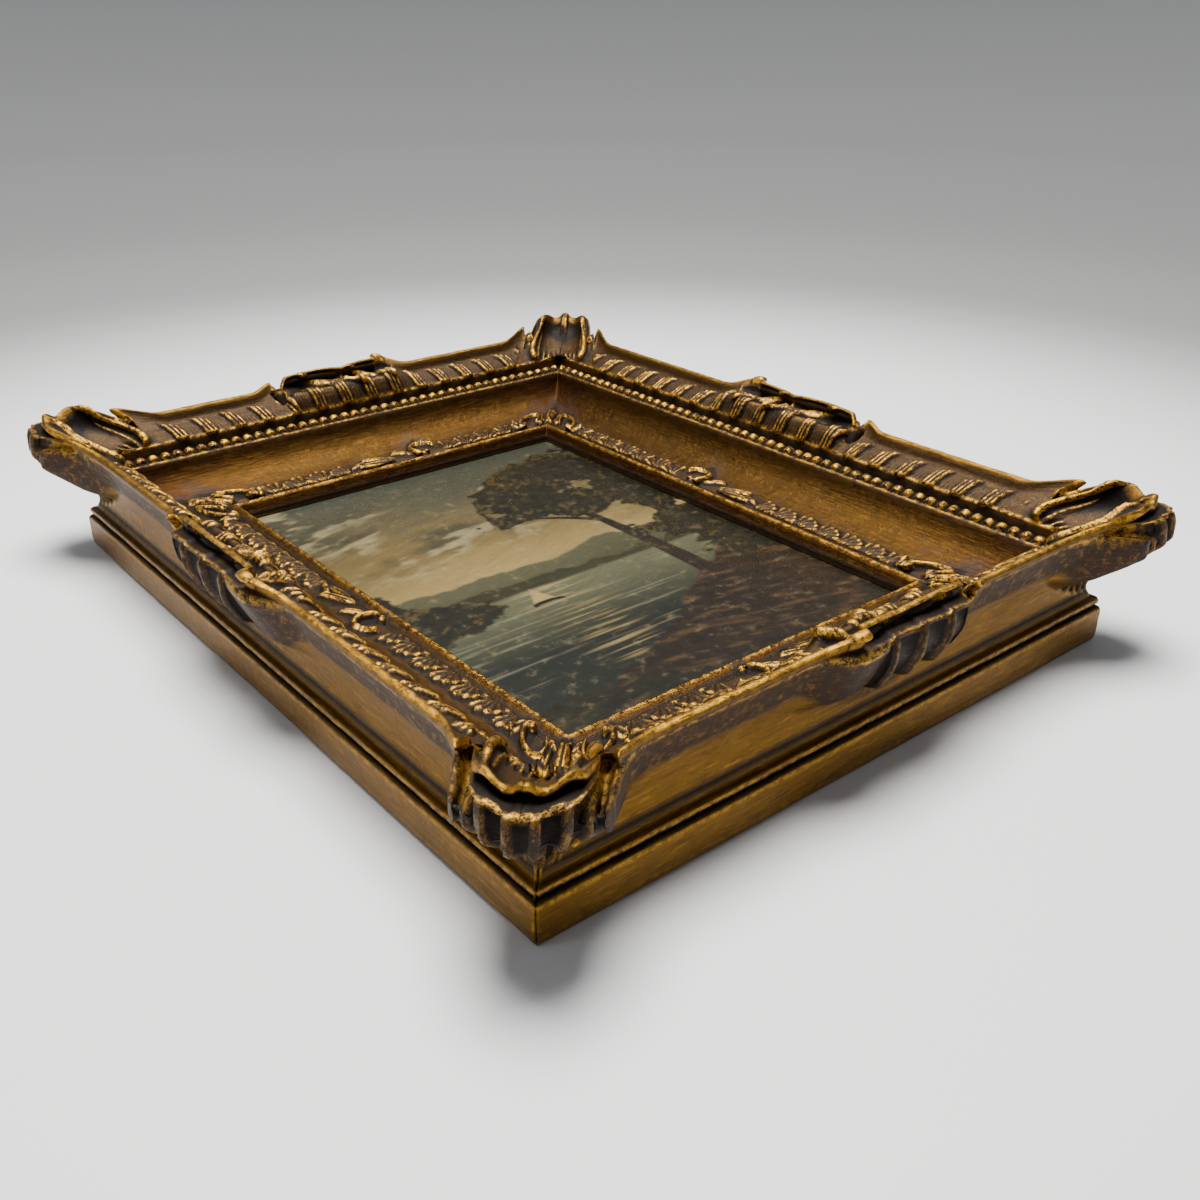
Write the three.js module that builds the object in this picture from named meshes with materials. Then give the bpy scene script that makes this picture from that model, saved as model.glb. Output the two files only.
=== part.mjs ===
// Small framed oil painting: four mitred rails of a swept, carved and gilded moulding round a painted
// panel. Millimetres, +Z up. The frame lies on its back, with the picture's top towards +Y.
// The origin is on the back of the top rail, where the frame hangs against a wall.
import * as THREE from 'three';

// ---------------------------------------------------------------- driving dimensions

const BASE_WIDTH = 195; // over the straight base of the moulding, left to right
const BASE_HEIGHT = 243; // the same, bottom to top of the picture
const JOINT_GAP = 0.3; // between touching pieces
const MITRE_SETBACK = (JOINT_GAP / 2) * Math.SQRT2; // measured along a rail

const REBATE_EDGE = 32.2; // from the base's outer side in to the rebate's wall
const LIP_BACK = 10.9; // height of the rebate's shoulder above the back
const SIGHT_EDGE = 37.8; // from the base's outer side in to the opening

const PANEL_WIDTH = 127;
const PANEL_HEIGHT = 177.8;
const PANEL_THICKNESS = 3;

const SHORT_SHELL_HALF = 27; // half the length of the shell in the middle of a short rail
const LONG_SHELL_HALF = 31;
const PLEAT_SHARE = 0.365; // from one pleat of a middle shell to the next, of half its length
const FIRST_PLEAT = 0.93; // where the first one ends, from the shell's middle, in the same measure
const LAST_PLEAT = -0.2; // and where the last one begins
const PLEAT_OUT = 2.4; // how far the pleats stand off the shell
const PETAL_TIP = -0.47; // where the petal of the thin end begins
const PETAL_STEP = 3.2; // how far its rim stands outside the rest
const SHELL_TAPER = 14; // length of a shell's thin end
const SCROLL_STEP = 4; // length over which its other end drops off

const SHELL_DIP = 0.42; // how far the middle shell's rim drops back between its two arches
const SHELL_HOLLOW = 2; // depth of the hollow inside each arch

const CORNER_REACH = 15; // how far a corner shell's rim runs along a rail from the mitre
const FLARE_REACH = 20.5; // how far its flared foot runs
const CORNER_PITCH = 7.4; // flutes of the corner shells
const FIRST_RIB = 4; // the corner flutes' first rib, from the mitre
const NOSE_REACH = 11; // length over which the corner shell's nose is rounded off
const NOSE_ROUND = 1.8; // how much, below the rim
const RIM_ROUND = 2.5; // and at the rim
const FLUTE_DEPTH = 2;
const CURL_PLACE = 21; // the curl that ends the rim beside a corner shell, from the mitre
const CURL_FRONT = 2.5; // its length towards the corner
const CURL_BACK = 11; // and away from it
const SHELL_CURL = 2.6; // the curl that ends the rim beside a middle shell, from the shell's end
const CURL_OUT = 4.6;
const CURL_RISE = 2.8;
const SLIT_PLACE = 18.6; // the upright slit beside a corner shell, from the mitre
const SLIT_HALF = 1.9;
const SLIT_DEPTH = 2.2;
const ARCH_HALF = 1.7; // the arched edge of a corner shell's hollow
const ARCH_RISE = 3.2;
const CONCH_DEPTH = 1.4; // the hollow between the arched edges

const GADROON_PITCH = 10.1; // one group of reeds and the plain ground beside it
const GADROON_HEIGHT = 1.3;
const PEARL_PITCH = 4.05;
const PEARL_HEIGHT = 1.1;
const LEAF_PITCH = 8.7;
const LEAF_HEIGHT = 1.3;
const BUD_REACH = 7; // the leaf bud on the mitre beside the opening
const BUD_HEIGHT = 2.6;

// ---------------------------------------------------------------- moulding section
// Each row is a line that runs along the rail. plain is its place [in, up] between the ornaments: in is
// measured from the base's outer side towards the picture, up from the back. corner is its place in the
// corner shell, shell its place in the shell at the rail's middle. carve names the relief on it, curl how
// much of the rims' end curls it follows, flare how much of their outward swing alone, and arch where the
// corner shell's arched edge crosses it. steps says that a plain row has points between its mitres.

const ROWS = [
  { plain: [1.0, 0] }, // back, outer edge
  { plain: [0.3, 1.4] },
  { plain: [0, 4.8] }, // base band, hardly crowned
  { plain: [0.1, 9.7] },
  { plain: [0.5, 10.4] },
  { plain: [2.0, 10.9] }, // groove
  { plain: [0.9, 11.9] }, // half-round
  { plain: [0.9, 13.0] },
  { plain: [2.6, 14.0] }, // groove
  { plain: [3.6, 16.2], steps: 'wide' }, // neck
  { plain: [3.9, 20.5], corner: [2.5, 20.3], shell: [3.5, 20.5], carve: 'flutes' },
  { plain: [3.2, 25.2], corner: [-4.0, 25.0], shell: [-0.4, 24.8], carve: 'flutes' },
  { plain: [1.8, 29.6], corner: [-9.7, 29.9], shell: [-3.2, 29.8], carve: 'flutes', flare: 0.5 },
  { plain: [0.4, 33.4], corner: [-12.3, 33.4], shell: [-5.2, 34.0], carve: 'flutes', flare: 0.75 },
  { plain: [-1.2, 36.6], corner: [-12.2, 37.2], shell: [-6.3, 37.0], carve: 'flutes', curl: 0.7 },
  { plain: [-1.8, 37.8], corner: [-9.2, 40.4], shell: [-4.6, 38.4], carve: 'rim', curl: 1 },
  { plain: [-1.2, 38.8], corner: [-8.5, 42.3], shell: [-5.4, 41.8], carve: 'rim', curl: 1 },
  { plain: [0.2, 38.8], corner: [-7.0, 43.3], shell: [-3.7, 42.3], carve: 'rim', curl: 1 },
  { plain: [1.2, 37.4], corner: [-4.8, 41.8], shell: [-1.8, 40.4], carve: 'lobes', curl: 0.7, arch: 12.2 },
  { plain: [2.2, 35.4], corner: [-1.6, 38.2], shell: [0.6, 38.6], carve: 'lobes', arch: 13.6 }, // hollow
  { plain: [4.0, 34.4], corner: [3.2, 35.3], shell: [4.0, 38.1], carve: 'gadroons', arch: 14.4 },
  { plain: [6.2, 33.0], corner: [6.4, 33.4], shell: [6.6, 35.6], carve: 'gadroons', arch: 13.2 },
  { plain: [7.9, 31.6], shell: [8.0, 32.0], carve: 'gadroons' },
  { plain: [8.4, 31.2], steps: 'wide' }, // fillet
  { plain: [9.0, 28.0] }, // groove beside the pearls
  { plain: [10.4, 28.2], carve: 'pearls' },
  { plain: [11.6, 26.6] },
  { plain: [12.6, 26.9] }, // thin ridge
  { plain: [13.4, 24.4] }, // scotia
  { plain: [15.4, 20.6] },
  { plain: [18.6, 17.7] },
  { plain: [22.6, 16.0] },
  { plain: [25.0, 15.4], steps: 'wide' }, // leaf band
  { plain: [26.6, 15.3], carve: 'leaves' },
  { plain: [30.4, 15.2], carve: 'leaves' },
  { plain: [32.0, 15.0], steps: 'wide' },
  { plain: [33.6, 15.4] }, // sight edge
  { plain: [35.7, 16.1] },
  { plain: [SIGHT_EDGE, 12.4] },
  { plain: [SIGHT_EDGE, LIP_BACK] },
  { plain: [REBATE_EDGE, LIP_BACK] }, // rebate
  { plain: [REBATE_EDGE, 0] },
];
const RIM_LEVEL = 36; // rows above it belong to the rim

const clamp01 = (x) => Math.min(1, Math.max(0, x));
const ease = (x) => clamp01(x) ** 2 * (3 - 2 * clamp01(x));
const mix = (a, b, share) => a + (b - a) * share;
const dome = (x, half) => Math.sqrt(Math.max(0, 1 - (x / half) ** 2));
const bump = (x, centre, before, after) => ease(1 - Math.abs(x - centre) / (x < centre ? before : after));

// ---------------------------------------------------------------- ornament along a rail
// along is the distance from the rail's middle, towards the middle shell's scrolled end, and fromMitre
// the distance back from the nearer mitre.

/** How far up a row stands between the neck, 0, and the rim, 1. */
const levelOf = (row) => clamp01((row.plain[1] - 15) / (RIM_LEVEL - 15));

/** 1 inside the corner shell and 0 outside. Its foot flares out and comes to a point at the neck. */
function cornerShare(row, fromMitre) {
  const flare = FLARE_REACH * clamp01((row.plain[1] - 15.5) / 9.5) ** 0.6;
  return ease(((row.carve === 'flutes' ? flare : CORNER_REACH) + 3 - fromMitre) / 4);
}

/** The two arches of the middle shell's rim, 1 at their tops. */
function arches(along, shellHalf) {
  const share = along / shellHalf;
  return Math.max(dome(share - 0.5, 0.49), dome(share + 0.36, 0.46));
}

/** 1 inside the middle shell, which tapers to one end and drops off in a scroll at the other. */
function shellShare(row, along, shellHalf) {
  const half = shellHalf * clamp01((3.2 * (row.plain[1] - 17)) / (RIM_LEVEL - 17)) ** 0.4;
  const dip = row.carve === 'rim' ? SHELL_DIP * (1 - arches(along, shellHalf)) : 0;
  return ease((half + along) / SHELL_TAPER) * ease((half - along) / SCROLL_STEP) * (1 - dip);
}

/** A hollow flute: 0 on the rib at each whole phase, 1 in the middle between two. */
const flute = (phase) => dome(phase - Math.floor(phase) - 0.5, 0.44);

/** The count of middle shell pleats from the scrolled end, and 1 where there are pleats. */
const pleatPhase = (along, shellHalf) => (FIRST_PLEAT - along / shellHalf) / PLEAT_SHARE;
const pleated = (along, shellHalf) => ease((along / shellHalf - LAST_PLEAT) / 0.06);

/** How the corner flutes and their ribs draw together towards the neck. */
const gather = (row) => 0.3 + 0.7 * levelOf(row);

/** How far the carving moves a row's point [in, up] off the moulding. */
function relief(row, along, fromMitre, corner, shell, shellHalf) {
  const beside = bump(fromMitre, SLIT_PLACE, SLIT_HALF, SLIT_HALF);
  if (row.carve === 'flutes') {
    const phase = (fromMitre / gather(row) - FIRST_RIB) / CORNER_PITCH + 1;
    const deep = (FLUTE_DEPTH + 0.3) * gather(row) * corner * ease(CORNER_REACH + 1 - fromMitre);
    const upright = flute(pleatPhase(along, shellHalf)) * pleated(along, shellHalf) * shell;
    const slit = row.flare || row.curl ? SLIT_DEPTH * beside : 0;
    return [Math.max(deep * flute(phase), FLUTE_DEPTH * upright, slit), 0];
  }
  if (row.carve === 'rim') {
    const ears = 1.1 * bump(fromMitre, 11.5, 5, 2.5) - 0.9 * bump(fromMitre, 5, 4, 4.5);
    return [SLIT_DEPTH * 0.5 * beside, (ears + 0.9 * dome(fromMitre, 2.4)) * corner];
  }
  const arch = row.arch ? ARCH_RISE * bump(fromMitre, row.arch, ARCH_HALF, ARCH_HALF) : 0;
  const conch = row.arch && fromMitre < row.arch ? CONCH_DEPTH * dome(fromMitre, row.arch) * corner : 0;
  if (row.carve === 'lobes') {
    const share = along / shellHalf;
    const hollow = SHELL_HOLLOW * Math.max(dome(share - 0.5, 0.42), dome(share + 0.3, 0.38)) * shell;
    return [-hollow / 3, arch - conch - hollow];
  }
  if (row.carve === 'gadroons') {
    const phase = along / GADROON_PITCH - Math.floor(along / GADROON_PITCH);
    const rise = phase > 0.3 && phase < 0.8 ? GADROON_HEIGHT * (1 - cornerShare(row, fromMitre)) : 0;
    return [rise * 0.4, Math.max(rise, arch) - conch];
  }
  if (row.carve === 'pearls') {
    return [0, (PEARL_HEIGHT / 2) * Math.cos((2 * Math.PI * along) / PEARL_PITCH)];
  }
  if (row.carve === 'leaves') {
    const fan = 0.5 + 0.5 * Math.cos((2 * Math.PI * along) / LEAF_PITCH);
    return [0, Math.max(LEAF_HEIGHT * fan, BUD_HEIGHT * ease(1 - fromMitre / BUD_REACH))];
  }
  return [0, 0];
}

/** The point { along, inward, up } of a row, at along or at fromMitre, whichever the station gives. */
function railPoint(row, rail, station) {
  const half = rail.length / 2;
  const end = Math.sign(station.along);
  const reach = half - row.plain[0];
  const onCorner = station.fromMitre !== undefined;
  const fromMitre = onCorner ? station.fromMitre : reach - Math.abs(station.along);
  const along = onCorner ? end * (reach - fromMitre) : station.along;
  const corner = row.corner ? cornerShare(row, fromMitre) : 0;
  const shell = row.shell ? shellShare(row, along, rail.shellHalf) : 0;
  const [reliefIn, reliefUp] = relief(row, along, fromMitre, corner, shell, rail.shellHalf);
  let [inward, up] = row.plain;
  if (corner > 0) {
    const rounding = row.carve === 'flutes' ? NOSE_ROUND * ease((row.plain[1] - 20) / 9) : RIM_ROUND;
    inward = mix(inward, row.corner[0] + rounding * clamp01(1 - fromMitre / NOSE_REACH) ** 1.3, corner);
    up = mix(up, row.corner[1], corner);
  }
  if (shell > 0) {
    inward = mix(inward, row.shell[0], shell);
    up = mix(up, row.shell[1], shell);
    if (row.carve === 'flutes' && row.plain[1] > 22) {
      inward -= PLEAT_OUT * pleated(along, rail.shellHalf) * shell * ease((38 - row.plain[1]) / 9);
    }
    if (row.carve === 'rim') {
      const behind = ease(along - PETAL_TIP * rail.shellHalf);
      inward += PETAL_STEP * (behind - 0.3) * shell;
    }
  }
  if (row.curl || row.flare) {
    const beside = bump(along, rail.shellHalf + SHELL_CURL, SHELL_CURL - 0.6, CURL_BACK);
    const curl = Math.max(bump(fromMitre, CURL_PLACE, CURL_FRONT, CURL_BACK), beside) ** 1.7;
    inward -= CURL_OUT * curl * (row.curl ?? row.flare);
    up += CURL_RISE * curl * (row.curl ?? 0);
  }
  inward += reliefIn;
  up += reliefUp;
  const placed = onCorner ? end * (half - inward - fromMitre - MITRE_SETBACK) : along;
  return { along: placed, inward, up };
}

// ---------------------------------------------------------------- stations

/** Evenly spaced values from one end to the other, both included, no more than step apart. */
function spaced(from, to, step) {
  const count = Math.max(1, Math.ceil(Math.abs(to - from) / step));
  return Array.from({ length: count + 1 }, (_, i) => from + ((to - from) * i) / count);
}

const PLAIN_STEP = 9;
const CURL_STEPS = [0, CURL_BACK / 3, (CURL_BACK * 2) / 3, CURL_BACK];

/** The places, from the mitre, where a row's corner carving turns. */
function cornerSteps(row) {
  const beside = [SLIT_PLACE - SLIT_HALF, SLIT_PLACE, ...CURL_STEPS.map((step) => CURL_PLACE + step)];
  if (row.arch) {
    const inside = spaced(0, row.arch - ARCH_HALF, CORNER_PITCH / 2);
    return [...inside, row.arch, row.arch + ARCH_HALF, ...beside];
  }
  const ribs = spaced(FIRST_RIB, FIRST_RIB + CORNER_PITCH, CORNER_PITCH / 4);
  return [0, FIRST_RIB / 2, ...ribs].map((step) => step * gather(row)).concat(CORNER_REACH - 1, beside);
}

/** The places of a row's points along a rail: close together only where the relief needs it. */
function stationsOf(row, rail) {
  const reach = rail.length / 2 - row.plain[0];
  const between = (middle, mitreSteps = [0]) => [
    ...mitreSteps.map((fromMitre) => ({ along: -1, fromMitre })),
    ...middle.map((along) => ({ along })),
    ...mitreSteps.toReversed().map((fromMitre) => ({ along: 1, fromMitre })),
  ];
  const wholeSteps = (margin, step) => {
    const limit = Math.floor((reach - margin) / step) * step;
    return spaced(-limit, limit, step * 1.001);
  };
  if (row.steps === 'wide') return between(wholeSteps(PLAIN_STEP, PLAIN_STEP * 2));
  if (row.carve === 'pearls') return between(wholeSteps(2, PEARL_PITCH / 2));
  if (row.carve === 'leaves') return between(wholeSteps(BUD_REACH, LEAF_PITCH / 2), [0, BUD_REACH / 2]);
  if (!row.carve) return between([]);
  const inner = reach - CURL_PLACE - CURL_BACK - 2;
  if (row.carve === 'gadroons') return between(spaced(-inner, inner, GADROON_PITCH / 3), cornerSteps(row));
  const pleat = PLEAT_SHARE * rail.shellHalf;
  const scroll = FIRST_PLEAT * rail.shellHalf;
  const curlEnd = rail.shellHalf + SHELL_CURL + CURL_BACK;
  return between(
    [
      ...spaced(-inner, -rail.shellHalf, PLAIN_STEP).slice(0, -1),
      ...spaced(-rail.shellHalf, scroll - 3.25 * pleat, PLAIN_STEP / 2).slice(0, -1),
      ...spaced(scroll - 3.25 * pleat, scroll, (pleat / 4) * 1.001),
      rail.shellHalf,
      ...CURL_STEPS.map((step) => rail.shellHalf + SHELL_CURL + step),
      ...spaced(curlEnd, inner, PLAIN_STEP).slice(1),
    ],
    cornerSteps(row),
  );
}

// ---------------------------------------------------------------- solids

/** Joins two lines of points into a strip, always stepping along the line that lags behind. */
function zip(lower, upper, triangles) {
  let i = 0;
  let j = 0;
  while (i < lower.length - 1 || j < upper.length - 1) {
    const nextLower = i < lower.length - 1 ? lower[i + 1].along : Infinity;
    const nextUpper = j < upper.length - 1 ? upper[j + 1].along : Infinity;
    if (nextLower <= nextUpper) {
      triangles.push(lower[i].index, lower[i + 1].index, upper[j].index);
      i += 1;
    } else {
      triangles.push(lower[i].index, upper[j + 1].index, upper[j].index);
      j += 1;
    }
  }
}

/** One rail as a closed solid, along X, with its outer side towards -Y and its middle at X = 0. */
function railGeometry(rail) {
  const positions = [];
  const lines = ROWS.map((row) =>
    stationsOf(row, rail).map((station) => {
      const point = railPoint(row, rail, station);
      positions.push(rail.hand * point.along, point.inward - rail.across / 2, point.up);
      return { ...point, index: positions.length / 3 - 1 };
    }),
  );
  const triangles = [];
  lines.forEach((line, i) => zip(line, lines[(i + 1) % lines.length], triangles));
  for (const last of [false, true]) {
    const section = lines.map((line) => line[last ? line.length - 1 : 0]);
    const contour = section.map((point) => new THREE.Vector2(point.inward, point.up));
    for (const [a, b, c] of THREE.ShapeUtils.triangulateShape(contour, [])) {
      const corners = last ? [a, b, c] : [a, c, b];
      triangles.push(...corners.map((k) => section[k].index));
    }
  }
  if (rail.hand < 0) triangles.reverse(); // a mirrored rail turns its triangles round
  const geometry = new THREE.BufferGeometry();
  geometry.setAttribute('position', new THREE.Float32BufferAttribute(positions, 3));
  geometry.setIndex(triangles);
  geometry.computeVertexNormals();
  return geometry;
}

function railMesh(name, rail, turn) {
  const gilding = new THREE.MeshStandardMaterial({ color: 0x9a6f2c, roughness: 0.42, metalness: 0.75 });
  const mesh = new THREE.Mesh(railGeometry(rail), gilding);
  mesh.name = name;
  mesh.rotation.z = turn;
  return mesh;
}

function panelMesh() {
  const box = new THREE.BoxGeometry(PANEL_WIDTH, PANEL_HEIGHT, PANEL_THICKNESS);
  const paint = new THREE.MeshStandardMaterial({ color: 0x6b6a45, roughness: 0.3, metalness: 0 });
  const mesh = new THREE.Mesh(box, paint);
  mesh.name = 'picture_panel';
  mesh.position.z = LIP_BACK - JOINT_GAP - PANEL_THICKNESS / 2;
  return mesh;
}

// ---------------------------------------------------------------- assembly

const SHORT_RAIL = { length: BASE_WIDTH, across: BASE_HEIGHT, shellHalf: SHORT_SHELL_HALF, hand: 1 };
const LONG_RAIL = { length: BASE_HEIGHT, across: BASE_WIDTH, shellHalf: LONG_SHELL_HALF, hand: -1 };

const frame = new THREE.Group();
frame.add(
  railMesh('bottom_rail', SHORT_RAIL, 0),
  railMesh('right_rail', LONG_RAIL, Math.PI / 2),
  railMesh('top_rail', SHORT_RAIL, Math.PI),
  railMesh('left_rail', LONG_RAIL, -Math.PI / 2),
  panelMesh(),
);
const backMiddle = (ROWS[0].plain[0] + REBATE_EDGE) / 2; // middle of a rail's flat back
frame.position.y = backMiddle - BASE_HEIGHT / 2;

export default frame;
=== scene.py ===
"""A small framed oil painting lying on its back: carved, gilded rails round a varnished landscape.

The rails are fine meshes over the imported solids' form. Their carving is worked out on a grid that runs
along each rail and across its section. Lengths in this file's tables are millimetres on the moulding;
every object is in metres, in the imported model's frame.
"""
import math

import bpy
import numpy as np
from mathutils import Matrix, Vector


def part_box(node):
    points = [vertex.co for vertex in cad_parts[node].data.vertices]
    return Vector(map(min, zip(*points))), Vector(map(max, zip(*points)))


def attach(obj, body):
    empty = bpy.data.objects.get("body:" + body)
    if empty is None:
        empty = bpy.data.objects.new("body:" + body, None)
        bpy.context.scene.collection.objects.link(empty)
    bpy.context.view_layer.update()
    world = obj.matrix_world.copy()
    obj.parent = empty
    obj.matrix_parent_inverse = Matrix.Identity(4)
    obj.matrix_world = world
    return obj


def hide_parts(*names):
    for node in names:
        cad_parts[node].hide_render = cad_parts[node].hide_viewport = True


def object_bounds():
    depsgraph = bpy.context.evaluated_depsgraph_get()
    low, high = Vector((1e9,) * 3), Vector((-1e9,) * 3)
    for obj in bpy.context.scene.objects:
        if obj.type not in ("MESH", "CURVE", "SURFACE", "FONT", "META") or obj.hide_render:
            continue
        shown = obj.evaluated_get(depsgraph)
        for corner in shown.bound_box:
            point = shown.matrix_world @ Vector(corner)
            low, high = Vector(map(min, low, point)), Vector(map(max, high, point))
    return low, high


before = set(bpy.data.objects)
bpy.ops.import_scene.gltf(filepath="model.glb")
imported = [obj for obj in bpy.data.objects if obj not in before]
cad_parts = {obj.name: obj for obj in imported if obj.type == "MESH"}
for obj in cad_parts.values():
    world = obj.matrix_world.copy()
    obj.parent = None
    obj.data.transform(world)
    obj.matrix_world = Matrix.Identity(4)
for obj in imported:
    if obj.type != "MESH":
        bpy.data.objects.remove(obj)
CAD_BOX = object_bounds()
MM = 0.001

# ---------------- sizes

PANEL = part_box("picture_panel")  # this and the next two are in metres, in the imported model's frame
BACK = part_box("bottom_rail")[0][2]
CENTRE = Vector(((PANEL[0][0] + PANEL[1][0]) / 2, (PANEL[0][1] + PANEL[1][1]) / 2, BACK))

BASE_WIDTH = 195.0  # over the straight base of the moulding, left to right
BASE_HEIGHT = 243.0  # the same, bottom to top of the picture
REBATE_EDGE = 32.2  # from the base's outer side in to the rebate's wall
LIP_BACK = 10.9  # height of the rebate's shoulder above the back
SIGHT_EDGE = 37.8  # from the base's outer side in to the opening
RIM_LEVEL = 36.0  # height at which the plain moulding's rim begins

SHORT_SHELL_HALF = 27.0  # half the length of the shell in the middle of a short rail
LONG_SHELL_HALF = 31.0
PLEAT_SHARE = 0.365  # of half the shell's length, from one pleat to the next
FIRST_PLEAT = 0.93  # where the first one ends, from the shell's middle, in the same measure
LAST_PLEAT = -0.24  # and where the last one begins
PLEAT_OUT = 2.4  # how far the pleats stand off the shell
PETAL_TIP = -0.47  # where the thin end's petal begins
PETAL_OUT = 0.9  # how far its rim stands outside the moulding's
PETAL_BACK = 2.3  # and how far the rest of the rim lies behind it
SHELL_TAPER = 14.0  # length of a shell's thin end
SCROLL_STEP = 4.0  # length over which its other end drops off
SHELL_DIP = 0.42  # how far the middle shell's rim drops back between its two arches
SHELL_HOLLOW = 2.3  # depth of the hollow inside each arch

CORNER_REACH = 15.0  # how far a corner shell's rim runs along a rail from the mitre
FLARE_REACH = 20.5  # how far its flared foot runs
CORNER_PITCH = 7.4  # flutes of the corner shells
NOSE_REACH = 11.0  # length over which the corner shell's nose is rounded off
NOSE_ROUND = 1.8  # how much, below the rim
RIM_ROUND = 2.5  # and at the rim
FLUTE_DEPTH = 2.0
ARCH_PLACE = 11.4  # the raised edge inside a corner shell, from the mitre, at the rim and at the foot
ARCH_BULGE = 3.2  # how much farther out it is half-way down
ARCH_HALF = 1.4
CONCH_DEPTH = 2.3  # the hollow between the two raised edges
CONCH_HALF = 11.0

CURL_PLACE = 21.0  # the curl that ends the rim beside a corner shell, from the mitre
CURL_FRONT = 2.5  # its length towards the corner
CURL_BACK = 11.0  # and away from it
SHELL_CURL = 1.6  # the lesser curl beside a middle shell, from the shell's end
SHELL_CURL_FRONT = 1.2
CURL_OUT = 4.6
CURL_RISE = 2.8
SLIT_PLACE = 18.0  # the upright slit beside a corner shell, from the mitre
SLIT_HALF = 1.6
SLIT_DEPTH = 2.4
SHELL_SLIT = 0.2  # the slit beside a middle shell, from the shell's end
SHELL_SLIT_BACK = 1.3
SHELL_SLIT_DEPTH = 1.8

DULL_REACH = 24.0  # how far the dark wash round a corner shell runs from the mitre
WASH_LEVEL = 26.0  # height over which the outer face is washed brown

GADROON_PITCH = 10.1  # one group of reeds and the plain ground beside it
REED_PITCH = 1.4
REED_HALF = 0.74
REED_HEIGHT = 1.25
REED_SLANT = 0.38  # along the rail, for each mm across it
PEARL_PITCH = 4.05
PEARL_RADIUS = 1.75
LEAF_PITCH = 8.7
LEAF_ROOT = (6.6, 7.8)  # where a leaf's ribs spread from, along and across the band
LEAF_RADIUS = 7.0
LEAF_LOBES = 15  # round a whole circle
SCROLL_RISE = 2.1  # the C scrolls of the leaf band
LEAFLET_RISE = 1.6
# A scroll's centre along and across the band, radius, first angle and sweep, in radians; and the leaflets
# beside it: their foot and tip, along and across, and half their width.
CORNER_SCROLL = (10.0, 3.6, 4.2, 2.6, 4.6)
CORNER_LEAFLETS = (4.2, 7.2, 5.6, -0.6, 1.5), (13.6, 6.8, 18.5, 2.0, 1.8), (2.4, 5.0, 6.0, 5.8, 1.1)
MIDDLE_SCROLL = (-12.0, 3.5, 4.5, 3.3, 4.4)
MIDDLE_LEAFLETS = (
    (-6.5, 5.4, -0.5, 1.0, 1.5), (1.0, 6.0, 11.5, 1.6, 1.9),
    (2.0, 6.8, 14.5, 5.4, 1.3), (17.5, 5.6, 11.5, 3.2, 1.0),
)

# The moulding section, from the back's outer edge over the rim to the rebate: name, steps to the next
# row, and place [in, up] on the plain moulding and, where they differ, in a corner and a middle shell.
SECTION = [
    ("back", 2, (1.0, 0.0)),
    ("arris", 2, (0.5, 0.6)),
    ("foot", 3, (0.15, 2.0)),
    ("", 5, (0.0, 4.8)),
    ("base_top", 2, (0.1, 9.7)),
    ("", 2, (0.5, 10.4)),
    ("groove_1", 2, (2.0, 10.7)),
    ("", 2, (1.9, 11.2)),
    ("", 2, (1.1, 11.5)),
    ("bead", 2, (0.75, 12.4)),
    ("", 2, (1.1, 13.2)),
    ("", 2, (2.6, 13.5)),
    ("groove_2", 2, (2.9, 14.4)),
    ("neck", 6, (3.6, 16.2), (3.5, 16.2), (3.6, 16.2)),
    ("", 9, (3.9, 20.5), (2.5, 20.3), (3.5, 20.5)),
    ("", 10, (3.2, 25.2), (-4.0, 25.0), (-0.4, 24.8)),
    ("", 8, (1.8, 29.6), (-9.7, 29.9), (-3.2, 29.8)),
    ("", 6, (0.4, 33.4), (-12.3, 33.4), (-5.2, 34.0)),
    ("lip_under", 4, (-1.2, 36.6), (-12.2, 37.2), (-6.3, 37.0)),
    ("ledge", 5, (-1.5, 37.2), (-11.2, 40.3), (-6.0, 37.9)),
    ("lip", 4, (-1.8, 37.9), (-8.2, 40.2), (-3.6, 38.3)),
    ("", 5, (-1.5, 38.5), (-6.6, 39.8), (-3.5, 40.2)),
    ("rim", 4, (-0.7, 38.9), (-8.5, 42.3), (-5.4, 41.8)),
    ("", 3, (0.3, 38.7), (-7.6, 43.3), (-3.9, 42.4)),
    ("lip_in", 4, (0.9, 37.8), (-5.9, 42.7), (-2.4, 40.9)),
    ("hollow", 4, (1.6, 35.8), (-2.8, 39.0), (-0.2, 38.6)),
    ("", 5, (2.7, 34.9), (0.2, 37.0), (1.8, 38.2)),
    ("reed_top", 7, (4.2, 34.3), (3.4, 35.2), (4.2, 38.0)),
    ("", 6, (6.2, 33.0), (6.4, 33.4), (6.6, 35.6)),
    ("reed_end", 2, (7.7, 31.7), (7.8, 31.8), (7.9, 32.2)),
    ("fillet", 2, (8.3, 31.3)),
    ("", 4, (8.6, 30.6)),
    ("pearl_groove", 3, (8.9, 27.6)),
    ("pearl", 4, (10.3, 27.2)),
    ("", 2, (11.6, 26.6)),
    ("ridge", 2, (12.3, 26.9)),
    ("", 2, (12.9, 26.3)),
    ("", 3, (13.4, 24.4)),
    ("", 3, (15.4, 20.6)),
    ("scotia", 3, (18.6, 17.7)),
    ("", 3, (22.6, 16.0)),
    ("band", 6, (25.0, 15.4)),
    ("leaf", 8, (28.0, 15.3)),
    ("", 3, (31.0, 15.2)),
    ("sight_groove", 3, (32.0, 14.6)),
    ("sight", 4, (33.6, 15.4)),
    ("sight_top", 4, (35.6, 16.1)),
    ("", 2, (37.3, 13.4)),
    ("sight_foot", 2, (SIGHT_EDGE, 12.2)),
    ("lip_back", 1, (SIGHT_EDGE, LIP_BACK)),
    ("rebate", 1, (REBATE_EDGE, LIP_BACK)),
    ("rebate_foot", 0, (REBATE_EDGE, 0.0)),
]
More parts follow.
